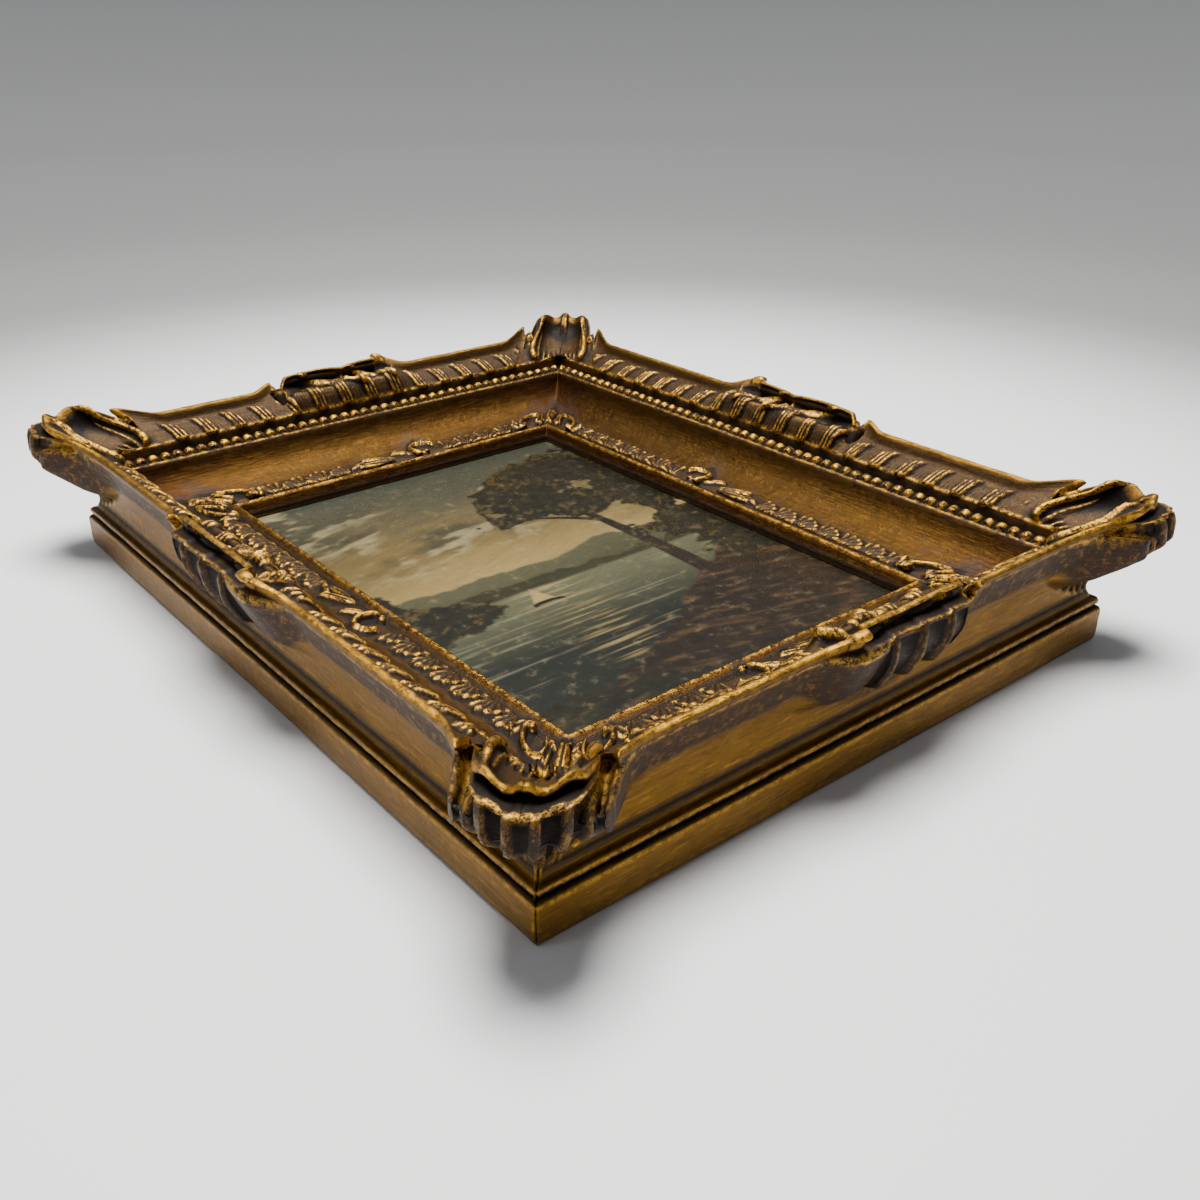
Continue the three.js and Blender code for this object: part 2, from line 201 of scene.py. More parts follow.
STATIONS = 520  # grid lines across each rail, which keep it under 200,000 triangles


def ease(x):
    x = np.clip(x, 0.0, 1.0)
    return x * x * (3.0 - 2.0 * x)


def mix(a, b, share):
    return a + (b - a) * share


def bump(x, centre, before, after):
    return ease(1.0 - np.abs(x - centre) / np.where(x < centre, before, after))


def dome(x, half):
    """A round hump: 1 at 0, falling to 0 at half."""
    return np.sqrt(np.clip(1.0 - (x / half) ** 2, 0.0, 1.0))


def ridge(distance, width):
    return np.exp(-((distance / width) ** 2))


# ---------------- noise on a grid

def lattice(seed, shape):
    return np.random.default_rng(seed).random(shape)


def smooth_noise(x, y, seed):
    """Value noise in 0..1 at the points x, y, given in cells."""
    table = lattice(seed, (64, 64))
    xi, yi = np.floor(x).astype(int), np.floor(y).astype(int)
    fx, fy = x - xi, y - yi
    fx, fy = fx * fx * (3 - 2 * fx), fy * fy * (3 - 2 * fy)
    x0, x1, y0, y1 = xi % 64, (xi + 1) % 64, yi % 64, (yi + 1) % 64
    low = table[y0, x0] * (1 - fx) + table[y0, x1] * fx
    high = table[y1, x0] * (1 - fx) + table[y1, x1] * fx
    return low * (1 - fy) + high * fy


def fractal(x, y, seed, octaves=4):
    total, weight, scale = 0.0, 0.0, 1.0
    for octave in range(octaves):
        share = 0.5 ** octave
        total = total + share * smooth_noise(x * scale, y * scale, seed + octave)
        weight += share
        scale *= 2.03
    return total / weight


# ---------------- the moulding section

def steepness(t, y):
    """Slopes of a curve through (t, y) that never overshoots its points."""
    h, delta = np.diff(t), np.diff(y) / np.diff(t)
    slope = np.zeros_like(y)
    same = delta[:-1] * delta[1:] > 0
    w1, w2 = 2 * h[1:] + h[:-1], h[1:] + 2 * h[:-1]
    with np.errstate(divide="ignore", invalid="ignore"):
        mean = (w1 + w2) / (w1 / delta[:-1] + w2 / delta[1:])
    slope[1:-1] = np.where(same, mean, 0.0)
    slope[0], slope[-1] = delta[0], delta[-1]
    return slope


def through(t, y, at):
    """The smooth curve through (t, y), read at the parameters at."""
    i = np.clip(np.searchsorted(t, at, side="right") - 1, 0, len(t) - 2)
    h = t[i + 1] - t[i]
    u = (at - t[i]) / h
    slope = steepness(t, y)
    return (
        (1 + 2 * u) * (1 - u) ** 2 * y[i]
        + u * (1 - u) ** 2 * h * slope[i]
        + u * u * (3 - 2 * u) * y[i + 1]
        + u * u * (u - 1) * h * slope[i + 1]
    )


PLACES = np.array([row[2] for row in SECTION])
ROW_GIRTH = np.concatenate([[0], np.cumsum(np.hypot(*np.diff(PLACES, axis=0).T))])
AT = {row[0]: float(girth) for row, girth in zip(SECTION, ROW_GIRTH) if row[0]}


def section():
    """The girth from the back's edge at every grid line, the three sections there, and where they differ."""
    corner = np.array([row[3] if len(row) > 3 else row[2] for row in SECTION])
    shell = np.array([row[4] if len(row) > 3 else row[2] for row in SECTION])
    spans = zip(ROW_GIRTH, ROW_GIRTH[1:], SECTION)
    steps = [np.linspace(low, high, row[1], endpoint=False) for low, high, row in spans]
    at = np.concatenate(steps + [ROW_GIRTH[-1:]])
    read = lambda rows: np.stack([through(ROW_GIRTH, rows[:, k], at) for k in (0, 1)], 1)
    differ = np.interp(at, ROW_GIRTH, [float(len(row) > 3) for row in SECTION])
    return at, read(PLACES), read(corner), read(shell), differ


GIRTH, PLAIN, CORNER, SHELL, SHAPED = section()


# ---------------- carving along a rail

class Rail:
    """A rail's grid, in mm: axis 0 steps along the rail, and axis 1 across its section."""

    def __init__(self, length, shell_half, seed):
        self.half, self.shell_half, self.seed = length / 2, shell_half, seed
        q = np.linspace(-1.0, 1.0, STATIONS)[:, None]
        self.girth = np.broadcast_to(GIRTH, (STATIONS, len(GIRTH)))
        self.plain_in, self.plain_up = PLAIN[:, 0][None], PLAIN[:, 1][None]
        self.reach = self.half - self.plain_in
        self.along = q * self.reach
        self.mitre = self.reach - np.abs(self.along)
        self.end = np.sign(q) + (q == 0)
        self.share = self.along / self.shell_half  # -1 at the shell's thin end, 1 at its scroll
        self.lip = self.between("lip_under", "hollow", 4.0)
        self.corner = self.corner_share() * SHAPED
        self.shell = self.shell_share() * SHAPED
        self.pleat = (FIRST_PLEAT - self.share) / PLEAT_SHARE
        self.fluted_side = ease((self.share - LAST_PLEAT) / 0.06)
        self.pleated = self.fluted_side * self.shell * (self.girth < AT["lip"])
        self.dull_edge = np.maximum(self.corner * ease((DULL_REACH - self.mitre) / 4.0), self.pleated)
        self.dull = (self.girth < AT["ledge"]) * self.dull_edge

    def corner_share(self):
        flare = FLARE_REACH * np.clip((self.plain_up - 15.5) / 9.5, 0, 1) ** 0.6
        reach = np.where(self.girth < AT["lip_under"], flare, CORNER_REACH)
        return ease((reach + 3 - self.mitre) / 4)

    def shell_share(self):
        level = np.where(self.girth < AT["rim"], (self.plain_up - 17) / (RIM_LEVEL - 17), 1.0)
        half = self.shell_half * np.clip(3.2 * level, 0, 1) ** 0.4
        share = ease((half + self.along) / SHELL_TAPER) * ease((half - self.along) / SCROLL_STEP)
        return share * (1 - SHELL_DIP * self.lip * (1 - self.arches()))

    def arches(self):
        """The middle shell's rim is two arches, the second one reaching into the taper."""
        return np.maximum(dome(self.share - 0.50, 0.49), dome(self.share + 0.36, 0.46))

    def across(self, name):
        """Distance across the moulding from a named row, in mm."""
        return self.girth - AT[name]

    def between(self, low, high, soft=1.0):
        """1 between two named rows, with soft edges."""
        return ease(self.across(low) / soft + 0.5) * ease(-self.across(high) / soft + 0.5)

    def swept(self):
        """The grid's points [in, up] on the swept moulding, before the carving."""
        rounding = np.where(self.girth < AT["lip"], NOSE_ROUND, RIM_ROUND)
        nose = rounding * np.clip(1 - self.mitre / NOSE_REACH, 0, 1) ** 1.3 * ease((self.plain_up - 20) / 9)
        inward = mix(self.plain_in, CORNER[:, 0] + nose, self.corner)
        up = mix(self.plain_up, CORNER[:, 1], self.corner)
        inward = mix(inward, SHELL[:, 0], self.shell)
        up = mix(up, SHELL[:, 1], self.shell)
        level = ease((self.plain_up - 22.8) / 2.4) * ease((38 - self.plain_up) / 9)
        inward = inward - self.pleated * PLEAT_OUT * level
        petal = self.between("lip", "lip_in", 1.0) * self.shell
        behind = ease((self.share - PETAL_TIP) * self.shell_half / 1.2 + 0.5)
        inward = inward + petal * mix(-PETAL_OUT, PETAL_BACK, behind)
        up = up + 0.8 * (self.pleat % 1.0) * self.pleated * ease((self.plain_up - 31) / 5)
        ears = 0.9 * bump(self.mitre, 11.0, 5.0, 3.2) - 0.9 * bump(self.mitre, 5.0, 4.0, 4.5)
        ears = (ears + 0.9 * dome(self.mitre, 2.4)) * self.corner * self.between("lip", "hollow", 2.0)
        curl = self.curl()
        sail = 0.75 * ease((self.plain_up - 24.5) / 7) * (self.girth < AT["lip"])
        inward = inward - CURL_OUT * curl * np.maximum(sail - self.lip, 0)
        curl = curl * self.lip
        return inward - CURL_OUT * curl, up + CURL_RISE * curl + ears

    def curl(self):
        """How far the rim curls out beside each shell."""
        corner = bump(self.mitre, CURL_PLACE, CURL_FRONT, CURL_BACK)
        middle = bump(self.along, self.shell_half + SHELL_CURL, SHELL_CURL_FRONT, CURL_BACK)
        return np.maximum(corner, 0.75 * middle) ** 2.0

    # From here to height(): the kinds of carving, as heights off the swept surface, and what they share.

    def scallops(self, phase):
        """Hollow flutes with broad flat ribs between them, one to each whole phase: 0 to -1."""
        return -dome(phase % 1.0 - 0.5, 0.36)

    def corner_flutes(self):
        """Upright flutes, one of them on the mitre, drawn together towards the neck."""
        level = np.clip((self.plain_up - 15) / (RIM_LEVEL - 15), 0, 1)
        phase = (self.mitre / (0.3 + 0.7 * level) + 3.4) / CORNER_PITCH
        face = self.between("neck", "ledge", 0.1) * ease((level - 0.02) / 0.12)
        face = face * np.maximum(self.corner, ease((2.5 + 12 * level - self.mitre) / 2))
        face = face * ease((16.0 - self.mitre) / 1.5)
        flutes = (0.9 + 1.4 * level) * self.scallops(phase) * face
        slit = self.slit() * self.between("neck", "hollow", 3.0) * ease((self.plain_up - 29) / 3)
        return flutes - SLIT_DEPTH * slit

    def shell_slit(self):
        return bump(self.along, self.shell_half + SHELL_SLIT, SLIT_HALF, SHELL_SLIT_BACK)

    def slit(self):
        """The upright slits beside the corner shells and the middle one."""
        return np.maximum(bump(self.mitre, SLIT_PLACE, SLIT_HALF, SLIT_HALF), self.shell_slit())

    def shell_flutes(self):
        """Upright flutes under the scrolled arch, a smooth bulge under the other, and a slit at the end."""
        upright = -dome(self.pleat % 1.0 - 0.48, 0.41) + 0.3 * (self.pleat % 1.0)
        face = self.between("neck", "lip_under", 1.0) * self.shell * ease((self.plain_up - 21.5) / 2)
        swell = 0.9 * dome(self.share + 0.62, 0.4) * (1 - self.fluted_side)
        slit = self.shell_slit() * self.between("neck", "reed_top", 2.0) * ease((self.plain_up - 27) / 3)
        return (FLUTE_DEPTH * upright * self.fluted_side + swell) * face - SHELL_SLIT_DEPTH * slit

    def crest(self):
        """The petals' rolled edges: each leaves the rim and runs on inside, behind the next one's tip."""
        rolls = []
        for start, length in ((0.72, 0.9), (-0.02, 0.62)):
            t = np.clip((start - self.share) / length, 0, 1)
            off = self.across("lip_in") - 6.5 * t ** 1.2
            on = ease((self.share - start + length) / 0.08) * ease((start - self.share) / 0.1)
            rolls.append(1.8 * dome(off, 1.2) * on)
        tip = 0.7 * dome(self.share - PETAL_TIP + 0.07, 0.08) * self.between("lip", "lip_in", 1.2)
        return (np.maximum(*rolls) + tip) * (self.girth < AT["fillet"])

    def lobes(self):
        """The shells' hollow insides, with the raised edges of the corner shell and its small boss."""
        hollows = np.maximum(dome(self.share - 0.50, 0.42), dome(self.share + 0.30, 0.38))
        middle = -SHELL_HOLLOW * hollows * self.between("lip_in", "reed_top", 3.0) * self.shell
        depth = np.clip(self.across("lip_in") / (AT["fillet"] - AT["lip_in"]), 0, 1)
        edge = ARCH_PLACE + ARCH_BULGE * np.sin(np.pi * depth)
        arch = mix(2.8, 1.8, depth) * dome(self.mitre - edge, ARCH_HALF)
        arch = arch * self.between("lip_in", "reed_end", 2.0)
        conch = -CONCH_DEPTH * dome(self.mitre, CONCH_HALF) * self.between("lip_in", "reed_end", 3.0)
        ribs = 0.45 * np.cos(np.pi * self.mitre / 1.3) * ease((depth - 0.5) / 0.3) * (self.mitre < edge - 1)
        ribs = ribs * self.between("lip_in", "fillet", 1.0)
        boss = 1.6 * dome(self.mitre, 2.6) * self.between("lip_in", "hollow", 2.0)
        return middle + np.maximum(arch, boss) + (conch * (self.mitre < edge) + ribs) * self.corner

    def gadroons(self):
        """Small blocks of three slanted reeds with round lower ends, and low ribs between them."""
        w = self.across("reed_end")
        slanted = (self.along + REED_SLANT * w) / GADROON_PITCH
        x = (slanted % 1.0 - 0.5) * GADROON_PITCH
        number = np.clip(np.round(x / REED_PITCH), -1, 1)
        reach = 1.3 - 0.3 * np.abs(number)  # the middle reed runs down the farthest
        tip = np.sqrt(np.clip(1 - np.clip(w - reach + 1.0, 0, 1) ** 2, 0, 1))
        top = ease((w + 6.4 + 0.7 * number) / 1.6)
        reeds = REED_HEIGHT * dome(x - REED_PITCH * number, REED_HALF) * tip * top * (w < reach)
        between = ((slanted + 0.5) % 1.0 - 0.5) * GADROON_PITCH
        spread = between / (1.0 + 0.14 * (w + 2))
        ribs = 0.25 * np.abs(np.cos(np.pi * spread / 1.15)) * (np.abs(between) < 2.6) * dome(w + 1.8, 2.6)
        clear = ease((self.mitre - 20.5) / 1.5) * (1 - ridge(self.along - self.shell_half - 1, 2.0))
        return np.maximum(reeds, ribs) * clear

    def pearls(self):
        x = (self.along / PEARL_PITCH - np.round(self.along / PEARL_PITCH)) * PEARL_PITCH
        w = self.across("pearl")
        ball = np.sqrt(np.clip(PEARL_RADIUS ** 2 - x ** 2 - w ** 2, 0, None))
        return ball * (self.mitre > 1.6)

    def leaf_band(self):
        """A running strip of fan-shaped leaflets, each with ribs that spread from its foot."""
        w = self.across("band")
        side = np.where(self.along < 0, 1.0, -1.0)
        x = (self.along * side / LEAF_PITCH) % 1.0 * LEAF_PITCH
        dx, dw = x - LEAF_ROOT[0], LEAF_ROOT[1] - w
        angle, radius = np.arctan2(dw, dx), np.hypot(dw, dx)
        edge = LEAF_RADIUS + 0.35 * np.cos(angle * LEAF_LOBES)
        inside = ease((edge - radius) / 0.5) * ease((w - 0.4) / 0.6) * ease((7.2 - w) / 0.6)
        ribs = 0.45 + 0.55 * np.abs(np.cos(angle * LEAF_LOBES / 2)) ** 0.7
        rise = 1.1 * inside * ribs * (0.55 + 0.45 * radius / LEAF_RADIUS)
        return rise * self.plain_leaf()

    def plain_leaf(self):
        """1 where the leaf band runs on, 0 under the scrolls at its corners and middle."""
        corner = ease((self.mitre - 17) / 1.5)
        middle = 1 - ease((self.along + 20) / 1.5) * ease((19 - self.along) / 1.5)
        return corner * middle * self.between("band", "sight_groove", 0.6)

    def scroll(self, x, w, centre_x, centre_w, radius, turn, sweep):
        """A C-scroll: a raised round bead on an arc, thin at one end, with a ball at the other."""
        dx, dw = x - centre_x, w - centre_w
        angle = (np.arctan2(dw, dx) - turn) % (2 * np.pi)
        part = np.clip(angle / sweep, 0, 1)
        on = angle <= sweep
        bead = SCROLL_RISE * dome(np.hypot(dx, dw) - radius, 0.6 + 0.6 * part) * on
        end = turn + sweep
        ball_x, ball_w = centre_x + (radius - 0.9) * np.cos(end), centre_w + (radius - 0.9) * np.sin(end)
        ball = (SCROLL_RISE + 0.3) * dome(np.hypot(x - ball_x, w - ball_w), 1.35)
        hollow = -1.2 * ease((radius - np.hypot(dx, dw)) / 1.2)
        return np.maximum(np.maximum(bead, ball), hollow)

    def leaflet(self, x, w, x0, w0, x1, w1, half):
        """A pointed leaf with a vein, from one point to another."""
        length = math.hypot(x1 - x0, w1 - w0)
        ux, uw = (x1 - x0) / length, (w1 - w0) / length
        t = ((x - x0) * ux + (w - w0) * uw) / length
        off = -(x - x0) * uw + (w - w0) * ux
        width = half * np.sqrt(np.clip(t, 0, 1)) * np.clip(1.15 - t, 0, 1) ** 0.6 * 1.6
        body = LEAFLET_RISE * dome(off, np.maximum(width, 0.05)) * (t > 0) * (t < 1)
        return body * (1 - 0.45 * ridge(off, 0.35))

    def band_motifs(self):
        """A bud on the mitre, and the scrolls and leaves beside it and in the middle of the band."""
        w, d = self.across("band"), self.mitre
        bud = 2.8 * dome(d, 2.9 - 0.16 * np.clip(w, 0, 9)) * dome(w - 4.2, 5.6) * (1 - 0.3 * ridge(d, 0.5))
        parts = [bud, self.scroll(d, w, *CORNER_SCROLL), self.scroll(self.along, w, *MIDDLE_SCROLL)]
        parts += [self.leaflet(d, w, *row) for row in CORNER_LEAFLETS]
        parts += [self.leaflet(self.along, w, *row) for row in MIDDLE_LEAFLETS]
        raised, sunk = np.maximum.reduce(parts), np.minimum.reduce(parts)
        return np.where(raised > 0, raised, sunk)

    def wear(self):
        """Small dents and the uneven hand of old gesso, and a fine crumb over all of it."""
        broad = fractal(self.along / 6.0 + 11, self.girth / 5.0, self.seed) - 0.5
        fine = fractal(self.along / 1.6, self.girth / 1.3 + 5, self.seed + 9) - 0.5
        flat = self.between("arris", "lip_back", 1.0)
        crumb = lattice(self.seed + 20, self.along.shape[:1] + self.girth.shape[1:]) - 0.5
        return (0.24 * broad + 0.16 * fine + 0.035 * crumb) * flat

    def height(self):
        """All the carving, as a height off the swept surface."""
        carved = self.corner_flutes() + self.shell_flutes() + self.crest() + self.lobes() + self.gadroons()
        carved = carved + self.pearls() * self.between("pearl_groove", "ridge", 1.0)
        carved = carved + self.leaf_band() + self.band_motifs() * self.between("scotia", "sight", 1.0)
        crack = ridge(self.mitre, 0.35) * self.between("arris", "neck", 1.0)
        return carved + self.wear() - 0.6 * crack

    def points(self):
        """The carved grid [along, in, up], with its carving's height."""
        inward, up = self.swept()
        near = np.clip((45 - self.mitre) / 10, 0, 1)
        along = self.along + self.end * (self.plain_in - inward) * near
        base = np.stack([along, inward, up], -1)
        d_along, d_girth = np.gradient(base, axis=0), np.gradient(base, axis=1)
        normal = np.cross(d_along, d_girth)
        normal /= np.linalg.norm(normal, axis=-1, keepdims=True) + 1e-9
        height = self.height()
        moved = base + normal * height[..., None]
        # At the mitres a rail meets its neighbour in one plane, so its end points stay in that plane.
        hold = np.clip(self.mitre / 1.2, 0, 1)[..., None]
        on_plane = moved.copy()
        on_plane[..., 0] = self.end * (self.half - moved[..., 1] - self.mitre)
        return mix(on_plane, moved, hold), height


def blurred(grid, reach):
    """A box blur along both axes of a grid."""
    for axis in (0, 1):
        pad = [(0, 0)] * grid.ndim
        pad[axis] = (reach + 1, reach)
        total = np.cumsum(np.pad(grid, pad, mode="edge"), axis=axis)
        size = grid.shape[axis]
        take = lambda start: np.take(total, range(start, start + size), axis=axis)
        grid = (take(2 * reach + 1) - take(0)) / (2 * reach + 1)
    return grid


# ---------------- meshes

def mesh_object(name, points, faces, attributes):
    """A smooth mesh whose points carry named values for its material."""
    mesh = bpy.data.meshes.new(name)
    mesh.from_pydata(points, [], faces)
    mesh.polygons.foreach_set("use_smooth", [True] * len(mesh.polygons))
    for key, values in attributes.items():
        kind = "FLOAT_VECTOR" if values.ndim == 2 else "FLOAT"
        layer = mesh.attributes.new(key, kind, "POINT")
        layer.data.foreach_set("vector" if values.ndim == 2 else "value", values.astype(np.float32).ravel())
    mesh.update()
    piece = bpy.data.objects.new(name, mesh)
    bpy.context.scene.collection.objects.link(piece)
    return piece


def grid_faces(rows, columns, closed=False):
    """Quads of a grid, wound so that they face outwards on a rail."""
    last = columns if closed else columns - 1
    i, j = np.meshgrid(np.arange(rows - 1), np.arange(last), indexing="ij")
    k = (j + 1) % columns
    quads = np.stack([i * columns + j, (i + 1) * columns + j, (i + 1) * columns + k, i * columns + k], -1)
    return quads.reshape(-1, 4)


# Rows whose edges are worn bright and carry a painted highlight: the row, its half-width in mm and how bright
# it is.
EDGES = (
    ("foot", 0.5, 0.4), ("base_top", 0.45, 0.5), ("bead", 0.6, 0.5), ("lip_under", 0.6, 0.7),
    ("rim", 0.95, 0.9), ("fillet", 0.5, 0.8), ("ridge", 0.45, 0.8), ("sight_top", 0.9, 0.8),
)


def rail_masks(rail, height):
    """Where the gilding is washed, worn, dark or bare, and where painted shade and painted highlights go:
    what the material reads at each grid point.
    """
    gold_line = WASH_LEVEL + 1.6 * (fractal(rail.along / 9.0, rail.along * 0, rail.seed + 3) - 0.5)
    gold_line = gold_line - 5.0 * np.maximum(rail.shell_share(), rail.corner_share())
    outer = np.maximum(rail.between("neck", "lip", 1.5), rail.dull) * (rail.girth < AT["rim"])
    # Painted shade: the recess under the shells' rims, the grooves and the slits are darkened, with the dark
    # wax of the grooves.
    petals = rail.shell * ease((rail.share - PETAL_TIP) / 0.06)
    recess = np.maximum(petals, ease((CORNER_REACH - rail.mitre) / 1.5))
    recess = recess * ease((rail.across("ledge") - 0.14) / 0.12) * ease((-rail.across("rim") - 0.1) / 0.3)
    grooves = (
        rail.between("groove_1", "bead", 0.8) + rail.between("groove_2", "neck", 1.2)
        + ridge(rail.across("base_top") - 1.6, 0.8) + ridge(rail.across("pearl_groove") + 0.6, 1.2)
        + ridge(rail.across("sight_groove") - 0.4, 0.7) + ridge(rail.across("sight_foot"), 0.8)
    )
    # Painted highlight: bright lines along these rows' edges and along the corner shells' ledge.
    edges = sum(share * ridge(rail.across(name), width) for name, width, share in EDGES)
    ledge = 0.8 * ridge(rail.across("ledge"), 0.14) * rail.dull_edge
    masks = {
        "wash": outer * ease((rail.plain_up - gold_line) / 2.2),
        "groove": grooves + recess + rail.slit() * outer * ease((rail.plain_up - 27) / 3),
        "copper": (
            rail.between("ridge", "band", 2.0) * (0.35 + 0.65 * ridge(rail.mitre, 16.0))
            + 0.7 * rail.between("sight", "sight_foot", 1.0)
        ),
        "carved": (
            rail.between("lip_in", "fillet", 1.5) + rail.between("band", "sight", 1.0)
            + rail.between("pearl_groove", "ridge", 1.0) + outer * np.maximum(rail.shell, rail.corner)
        ),
        "edge": edges * (1 - recess) * (1 - rail.dull) + ledge,
        "dull": rail.dull,
        # Painted shade over the moulding's inside, from the rim to the sight, a quarter less from the rim's
        # lip to the fillet.
        "inner_shade": ease(rail.across("rim") / 2.5) * (1 - 0.25 * rail.between("lip_in", "fillet", 1.0)),
        "back": (rail.girth > AT["sight_foot"] + 0.9) | (rail.girth < AT["arris"] + 0.2),
    }
    masks = {key: np.clip(mask, 0, 1).ravel() for key, mask in masks.items()}
    masks["rail"] = np.stack([rail.along + 400 * rail.seed, rail.girth, rail.mitre], -1).reshape(-1, 3)
    masks["fine"] = (height - blurred(height, 2)).ravel()
    masks["broad"] = (height - blurred(height, 8)).ravel()
    return masks


def rail_object(name, node, length, across, shell_half, hand, turn, seed):
    """One rail, turned into its place; hand is -1 where its ornament runs the other way."""
    rail = Rail(length, shell_half, seed)
    points, height = rail.points()
    placed = points * (hand, 1, 1) - (0, across / 2, 0)
    spin = Matrix.Rotation(turn, 3, "Z")
    flat = placed.reshape(-1, 3) * MM @ np.array(spin).T + np.array(CENTRE)
    flat = np.clip(flat, *(np.array(corner) for corner in CAD_BOX))
    rows, columns = height.shape
    faces = grid_faces(rows, columns, closed=True)
    if hand < 0:
        faces = faces[:, ::-1]
    ends = [list(range(columns)), list(range((rows - 1) * columns, rows * columns))]
    ends[0 if hand > 0 else 1].reverse()
    piece = mesh_object(name, flat.tolist(), faces.tolist() + ends, rail_masks(rail, height))
    for end in piece.data.polygons[len(faces):]:
        end.use_smooth = False
    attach(piece, "root")
    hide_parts(node)
    return piece


# ---------------- material helpers

class Nodes:
    """Short names for making a material's nodes."""

    def __init__(self, name):
        self.material = bpy.data.materials.new(name)
        self.material.use_nodes = True
        self.tree = self.material.node_tree
        self.shader = self.tree.nodes["Principled BSDF"]

    def add(self, kind, **inputs):
        node = self.tree.nodes.new(kind)
        for key, value in inputs.items():
            socket = node.inputs[int(key[1:])] if key[0] == "_" else node.inputs[key.replace("_", " ")]
            self.put(socket, value)
        return node

    def put(self, socket, value):
        if isinstance(value, bpy.types.NodeSocket):
            self.tree.links.new(value, socket)
        else:
            socket.default_value = value

    def attribute(self, name, vector=False):
        node = self.tree.nodes.new("ShaderNodeAttribute")
        node.attribute_name = name
        return node.outputs["Vector" if vector else "Fac"]

    def math(self, operation, a, b=0.0, clamp=False):
        node = self.add("ShaderNodeMath", _0=a, _1=b)
        node.operation, node.use_clamp = operation, clamp
        return node.outputs[0]

    def plus(self, a, b, clamp=False):
        return self.math("ADD", a, b, clamp)

    def times(self, a, b):
        return self.math("MULTIPLY", a, b)

    def most(self, a, b):
        return self.math("MAXIMUM", a, b)

    def rest(self, share):
        """What is left of 1."""
        return self.math("SUBTRACT", 1.0, share)

    def ramp(self, value, low, high):
        """0 below low, 1 above high, smooth between."""
        node = self.tree.nodes.new("ShaderNodeMapRange")
        node.interpolation_type = "SMOOTHSTEP"
        self.put(node.inputs["Value"], value)
        node.inputs["From Min"].default_value, node.inputs["From Max"].default_value = low, high
        return node.outputs["Result"]

    def noise(self, vector, scale, detail=4.0, rough=0.55, stretch=(1, 1, 1), shift=(0, 0, 0)):
        mapping = self.add("ShaderNodeMapping", Vector=vector)
        mapping.inputs["Scale"].default_value = stretch
        mapping.inputs["Location"].default_value = shift
        node = self.add("ShaderNodeTexNoise", Vector=mapping.outputs[0])
        node.inputs["Scale"].default_value = scale
        node.inputs["Detail"].default_value = detail
        node.inputs["Roughness"].default_value = rough
        return node.outputs["Fac"]

    def blend(self, share, a, b, mode="MIX"):
        node = self.tree.nodes.new("ShaderNodeMix")
        node.data_type, node.blend_type = "RGBA", mode
        self.put(node.inputs[0], share)
        for socket, value in ((node.inputs[6], a), (node.inputs[7], b)):
            self.put(socket, value if isinstance(value, bpy.types.NodeSocket) else (*value, 1.0))
        return node.outputs[2]

    def bump(self, height, strength, distance, normal=None):
        node = self.add("ShaderNodeBump", Height=height)
        node.inputs["Strength"].default_value = strength
        node.inputs["Distance"].default_value = distance
        if normal is not None:
            self.put(node.inputs["Normal"], normal)
        return node.outputs[0]


def srgb(red, green, blue):
    """A display colour in 0..255 as linear light."""
    linear = lambda c: c / 12.92 if c <= 0.04045 else ((c + 0.055) / 1.055) ** 2.4
    return tuple(linear(c / 255) for c in (red, green, blue))


GOLD = srgb(128, 93, 30)
GOLD_PALE = srgb(222, 166, 58)
GOLD_DEEP = srgb(80, 50, 17)
COPPER = srgb(82, 42, 17)
BOLE = srgb(84, 34, 20)
WASH = srgb(36, 24, 14)
WASH_WARM = srgb(52, 30, 16)
BROWN = srgb(38, 22, 11)
# Dark brown for the wax in the hollows and for painted shade.
WAX_AND_SHADE = srgb(16, 9, 5)
BARE_WOOD = srgb(150, 116, 78)


